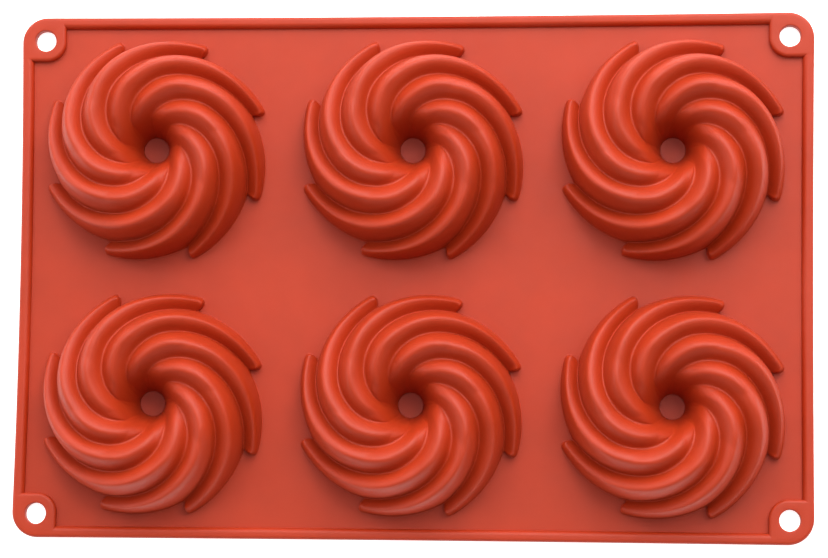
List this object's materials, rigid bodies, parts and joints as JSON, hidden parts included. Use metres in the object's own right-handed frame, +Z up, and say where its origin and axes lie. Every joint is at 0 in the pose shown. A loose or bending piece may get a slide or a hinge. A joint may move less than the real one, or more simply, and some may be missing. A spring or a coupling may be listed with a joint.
{
  "type": "silicone muffin tray",
  "caption": "Flexible silicone baking tray with spiral-fluted ring cups on a thin deck, a raised rim bead and corner hanging holes.",
  "frame": {"origin": "middle of the flat open face that the tray lies on, cups up", "axes": "+X along the tray's length, three cups, to the right in the picture; +Y across it, up in the picture; +Z up out of the cups' closed side. Turn it over about X to fill it."},
  "size_m": [0.3, 0.198, 0.0258],
  "materials": {
    "silicone": "satin moulded terracotta-red silicone"
  },
  "bodies": {
    "root": {"deck": "silicone", "rim_front": "silicone", "rim_right": "silicone", "rim_back": "silicone", "rim_left": "silicone", "corner_pad_front_left": "silicone", "corner_pad_front_right": "silicone", "corner_pad_back_left": "silicone", "corner_pad_back_right": "silicone", "cup_front_left": "silicone", "cup_front_middle": "silicone", "cup_front_right": "silicone", "cup_back_left": "silicone", "cup_back_middle": "silicone", "cup_back_right": "silicone", "core_cap_front_left": "silicone", "core_cap_front_middle": "silicone", "core_cap_front_right": "silicone", "core_cap_back_left": "silicone", "core_cap_back_middle": "silicone", "core_cap_back_right": "silicone"}
  },
  "joints": []
}
